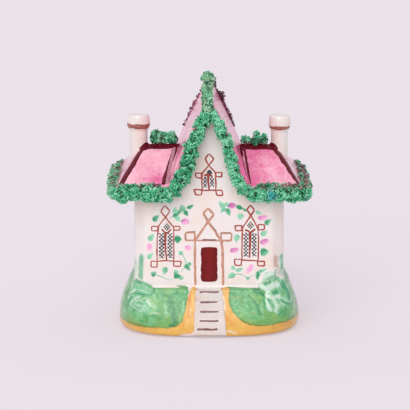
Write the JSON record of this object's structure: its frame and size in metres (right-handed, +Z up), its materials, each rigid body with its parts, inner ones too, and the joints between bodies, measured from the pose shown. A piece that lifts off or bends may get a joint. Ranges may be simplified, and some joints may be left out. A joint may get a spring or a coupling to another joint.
{
  "type": "pottery house ornament",
  "caption": "Small free-standing glazed earthenware cottage with a steep middle gable, hipped wings, chimneys, shredded-clay trim and a grassy mound base.",
  "frame": {"origin": "centre of the footprint, on the surface the mound stands on", "axes": "+Z up, the painted front faces -Y, +X to the right as one looks at the front"},
  "size_m": [0.0992, 0.0752, 0.1269],
  "materials": {
    "white_glaze": "glossy clear glaze over white earthenware",
    "grass_enamel": "glossy washes of green and yellow ochre over white glaze",
    "pink_roof": "glossy brushed pink lustre with maroon lines",
    "green_clay": "shredded clay under glossy green glaze",
    "dark_clay": "shredded clay under maroon and dark green glaze"
  },
  "bodies": {
    "root": {"ground_mound": "grass_enamel", "front_steps": "white_glaze", "right_corner_shrub": "grass_enamel", "left_corner_shrub": "grass_enamel", "front_wall": "white_glaze", "back_wall": "white_glaze", "right_end_wall": "white_glaze", "left_end_wall": "white_glaze", "right_gable_roof": "pink_roof", "left_gable_roof": "pink_roof", "right_wing_front_slope": "pink_roof", "left_wing_front_slope": "pink_roof", "right_wing_back_slope": "pink_roof", "left_wing_back_slope": "pink_roof", "right_wing_end_slope": "pink_roof", "left_wing_end_slope": "pink_roof", "right_chimney": "white_glaze", "left_chimney": "white_glaze", "gable_finial": "green_clay", "right_gable_trim": "green_clay", "left_gable_trim": "green_clay", "right_eaves_trim_front": "green_clay", "left_eaves_trim_front": "green_clay", "right_eaves_trim_side": "green_clay", "left_eaves_trim_side": "green_clay", "right_eaves_trim_back": "dark_clay", "left_eaves_trim_back": "dark_clay", "right_rear_gable_trim": "dark_clay", "left_rear_gable_trim": "dark_clay", "right_ridge_tuft": "green_clay", "left_ridge_tuft": "green_clay"}
  },
  "joints": []
}
